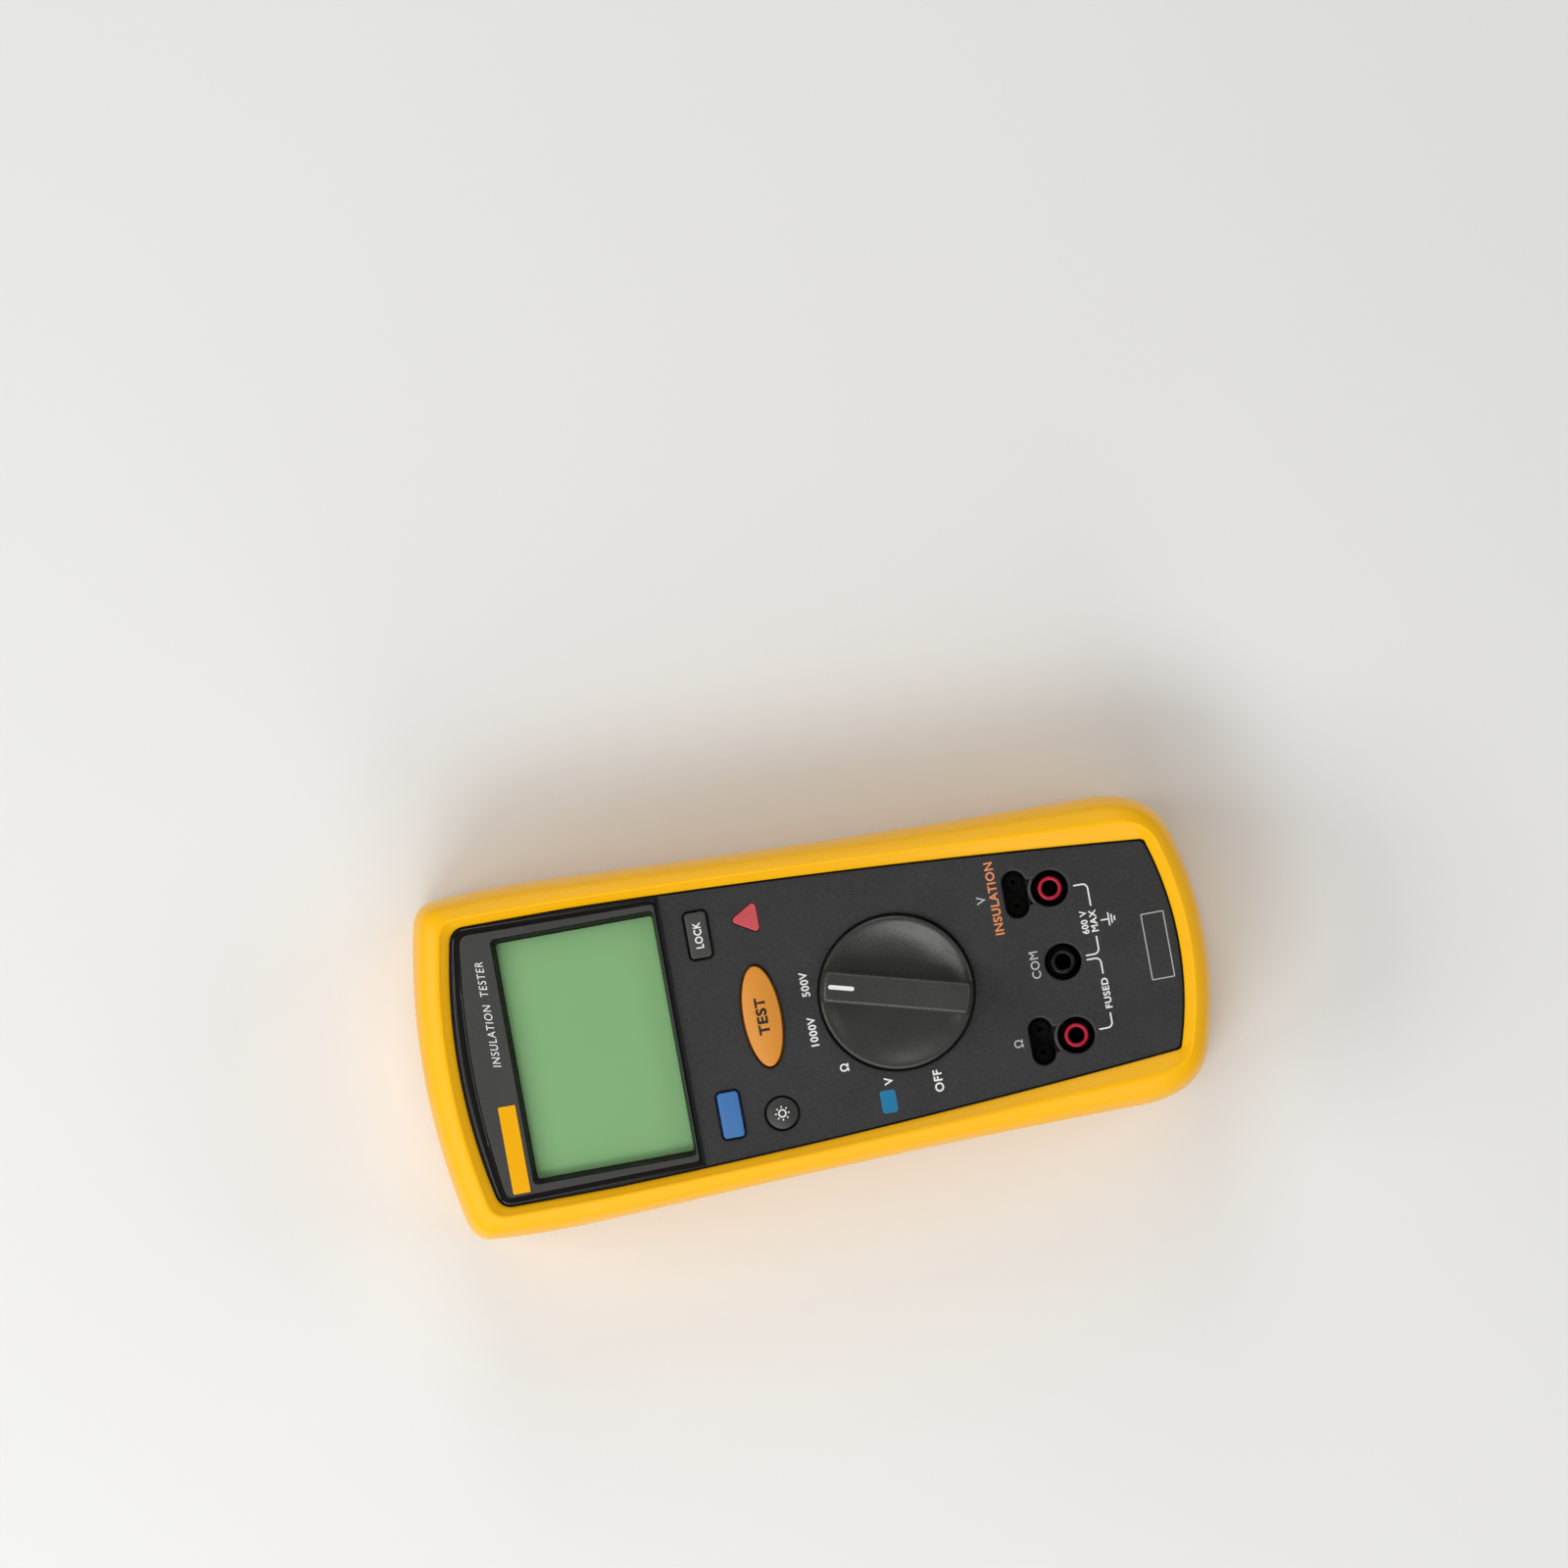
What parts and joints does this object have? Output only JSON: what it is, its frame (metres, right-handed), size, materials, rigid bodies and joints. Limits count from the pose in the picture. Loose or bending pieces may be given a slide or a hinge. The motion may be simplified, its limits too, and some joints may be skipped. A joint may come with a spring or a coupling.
{
  "type": "insulation resistance tester",
  "caption": "Handheld insulation tester in a rubber holster, with a green display, push keys, a rotary switch, shrouded test jacks, a tilt stand and a battery door.",
  "frame": {"origin": "middle of the footprint, on the plane that the holster's back rim rests on", "axes": "+X the tester's right seen from the front, +Y towards the display end, +Z out of the face"},
  "size_m": [0.089, 0.203, 0.05],
  "materials": {
    "holster_rubber": "moulded, slight sheen",
    "case_plastic": "fine textured",
    "bezel_plastic": "satin plate with a glossy rim",
    "clear_window": "clear, glossy",
    "lcd_glass": "matt green display",
    "badge_film": "smooth",
    "white_plastic": "plain",
    "board_green": "solder mask",
    "black_plastic": "plain",
    "red_plastic": "plain",
    "lamp_red": "translucent",
    "brass": "plated",
    "steel": "zinc plated",
    "silicone_grey": "matt",
    "ferrite": "sintered, matt",
    "copper_wire": "enamelled",
    "film_blue": "dipped",
    "fuse_glass": "clear",
    "cell_jacket": "printed jacket, plain",
    "button_blue": "soft touch",
    "button_grey": "soft touch",
    "button_orange": "soft touch",
    "knob_plastic": "satin"
  },
  "bodies": {
    "housing": {"holster": "holster_rubber", "front_case": "case_plastic", "rear_case": "case_plastic", "case_screw_1": "steel", "case_screw_2": "steel", "case_screw_3": "steel", "case_screw_4": "steel", "case_screw_5": "steel", "case_screw_6": "steel", "display_bezel": "bezel_plastic", "name_badge": "badge_film", "display_window": "clear_window", "lcd_panel": "lcd_glass", "lcd_backlight": "white_plastic", "lcd_connector_lower": "silicone_grey", "lcd_connector_upper": "silicone_grey", "lcd_frame": "white_plastic", "keypad_mat": "silicone_grey", "warning_lens": "lamp_red", "warning_led": "red_plastic", "detent_spring": "steel", "terminal_block": "black_plastic", "jack_sleeve_ohms": "red_plastic", "jack_sleeve_common": "black_plastic", "jack_sleeve_volts": "red_plastic", "jack_contact_ohms": "brass", "jack_contact_common": "brass", "jack_contact_volts": "brass", "remote_socket_ohms": "brass", "remote_socket_volts": "brass", "main_board": "board_green", "processor_chip": "black_plastic", "transformer_core": "ferrite", "transformer_winding": "copper_wire", "film_capacitor_1": "film_blue", "film_capacitor_2": "film_blue", "relay": "black_plastic", "input_varistor": "film_blue", "beeper": "black_plastic", "battery_cell_1": "cell_jacket", "battery_cell_2": "cell_jacket", "battery_cell_3": "cell_jacket", "battery_cell_4": "cell_jacket", "battery_contacts_lower": "steel", "battery_contacts_upper": "steel", "fuse": "fuse_glass", "fuse_clip_left": "brass", "fuse_clip_right": "brass"},
    "knob": {"rotary_knob": "knob_plastic", "switch_rotor": "white_plastic", "rotor_contact": "copper_wire"},
    "function_key": {"function_button": "button_blue"},
    "lock_key": {"lock_button": "button_grey"},
    "backlight_key": {"backlight_button": "button_grey"},
    "test_key": {"test_button": "button_orange"},
    "stand": {"tilt_stand": "case_plastic"},
    "door": {"battery_door": "case_plastic"},
    "latch_left": {"door_latch_left": "black_plastic"},
    "latch_right": {"door_latch_right": "black_plastic"}
  },
  "joints": [
    {"name": "knob_turn", "type": "hinge", "parent": "housing", "child": "knob", "pos_m": [0, -0.0213, 0.044], "axis": [0, 0, 1], "range_deg": [0, 120]},
    {"name": "function_key_press", "type": "slide", "parent": "housing", "child": "function_key", "axis": [0, 0, -1], "range_m": [0, 0.001], "stiffness_N_per_m": 1500},
    {"name": "lock_key_press", "type": "slide", "parent": "housing", "child": "lock_key", "axis": [0, 0, -1], "range_m": [0, 0.001], "stiffness_N_per_m": 1500},
    {"name": "backlight_key_press", "type": "slide", "parent": "housing", "child": "backlight_key", "axis": [0, 0, -1], "range_m": [0, 0.001], "stiffness_N_per_m": 1500},
    {"name": "test_key_press", "type": "slide", "parent": "housing", "child": "test_key", "axis": [0, 0, -1], "range_m": [0, 0.001], "stiffness_N_per_m": 1500},
    {"name": "stand_fold", "type": "hinge", "parent": "housing", "child": "stand", "pos_m": [0, 0.007, 0.0054], "axis": [1, 0, 0], "range_deg": [0, 60]},
    {"name": "door_lift", "type": "slide", "parent": "housing", "child": "door", "axis": [0, 0, -1], "range_m": [0, 0.03]},
    {"name": "latch_left_turn", "type": "hinge", "parent": "door", "child": "latch_left", "pos_m": [-0.0256, 0.0186, 0.005], "axis": [0, 0, -1], "range_deg": [0, 90]},
    {"name": "latch_right_turn", "type": "hinge", "parent": "door", "child": "latch_right", "pos_m": [0.0256, 0.0186, 0.005], "axis": [0, 0, 1], "range_deg": [0, 90]}
  ]
}
